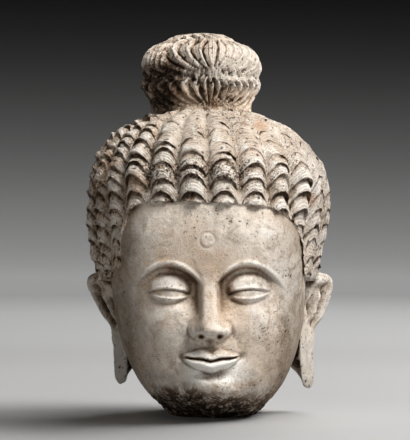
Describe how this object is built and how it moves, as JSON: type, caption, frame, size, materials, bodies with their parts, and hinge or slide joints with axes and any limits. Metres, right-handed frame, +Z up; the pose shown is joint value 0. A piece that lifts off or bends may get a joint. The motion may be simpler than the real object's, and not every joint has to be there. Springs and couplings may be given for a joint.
{
  "type": "stucco buddha head",
  "caption": "Life-size stucco head of a Buddha with wavy hair, topknot and long earlobes, broken off under the chin and standing on its flat break.",
  "frame": {"origin": "middle of the head's width and depth, at the height of the flat break that it stands on", "axes": "+Z up through the topknot, the face looks along -Y, +X is the head's own left side"},
  "size_m": [0.2249, 0.235, 0.3384],
  "materials": {
    "stucco": "matt aged lime stucco with dirt in the hollows"
  },
  "bodies": {
    "root": {"buddha_head": "stucco"}
  },
  "joints": []
}
